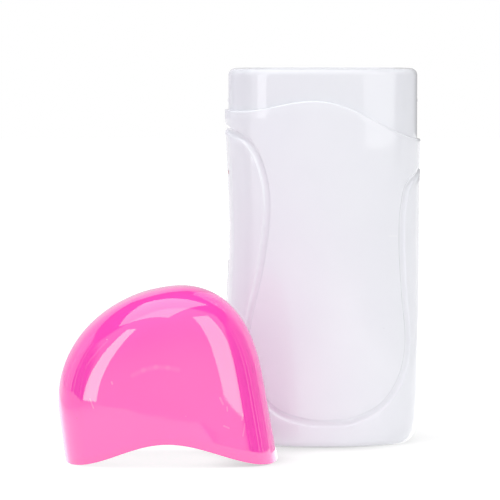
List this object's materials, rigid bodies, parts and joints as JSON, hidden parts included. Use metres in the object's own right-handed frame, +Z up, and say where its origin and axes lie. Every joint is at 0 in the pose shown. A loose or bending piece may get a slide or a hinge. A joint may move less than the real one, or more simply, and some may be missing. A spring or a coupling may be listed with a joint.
{
  "type": "roll-on wax warmer",
  "caption": "Upright moulded wax warmer with a wavy ledge, a collar around its heated wax chamber, and its domed cap lifted off and stood beside it.",
  "frame": {"origin": "centre of the body's underside, on the surface it stands on", "axes": "X to the right seen from the front, Y away from the viewer so the front faces -Y, Z up"},
  "size_m": [0.1292, 0.1019, 0.134],
  "materials": {
    "shell_plastic": "smooth glossy white moulding",
    "collar_plastic": "smooth glossy white moulding",
    "base_plastic": "fine matt texture on the underside",
    "cap_plastic": "glossy bright pink moulding",
    "window_plastic": "clear moulding",
    "lens_plastic": "clear red moulding",
    "sleeve_aluminium": "drawn, satin",
    "seat_plastic": "heat-resistant moulding, matt",
    "seal_silicone": "soft matt silicone",
    "case_aluminium": "folded sheet, satin",
    "stone_ceramic": "fired dark ceramic with metallised faces",
    "strip_brass": "stamped strip",
    "sheet_film": "amber film",
    "band_steel": "spring steel strip",
    "fuse_metal": "plain metal can",
    "socket_plastic": "black heat-resistant moulding",
    "pin_nickel": "bright nickel plating",
    "lead_brown": "brown insulation",
    "lead_blue": "blue insulation",
    "lead_thin": "thin red insulation",
    "lamp_glass": "clear glass bulb",
    "resistor_body": "lacquered body",
    "crimp_tin": "tin plated",
    "screw_steel": "zinc plated"
  },
  "bodies": {
    "body": {"front_shell": "shell_plastic", "rear_shell": "shell_plastic", "chamber_collar": "collar_plastic", "base_plate": "base_plastic", "level_window": "window_plastic", "indicator_lens": "lens_plastic", "heating_sleeve": "sleeve_aluminium", "sleeve_seat": "seat_plastic", "collar_seal": "seal_silicone", "heater_case": "case_aluminium", "ptc_stones": "stone_ceramic", "electrode_strips": "strip_brass", "insulating_sheet": "sheet_film", "clamp_band": "band_steel", "thermal_fuse": "fuse_metal", "inlet_socket": "socket_plastic", "inlet_pins": "pin_nickel", "live_lead": "lead_brown", "fuse_lead": "lead_brown", "neutral_lead": "lead_blue", "lamp_leads": "lead_thin", "neon_lamp": "lamp_glass", "lamp_resistor": "resistor_body", "crimp_sleeves": "crimp_tin", "housing_screws": "screw_steel", "base_screws": "screw_steel"},
    "cap": {"cap": "cap_plastic"}
  },
  "joints": [
    {"name": "cap_lift", "type": "slide", "parent": "body", "child": "cap", "axis": [0, 0, 1], "range_m": [0, 0.15]}
  ]
}
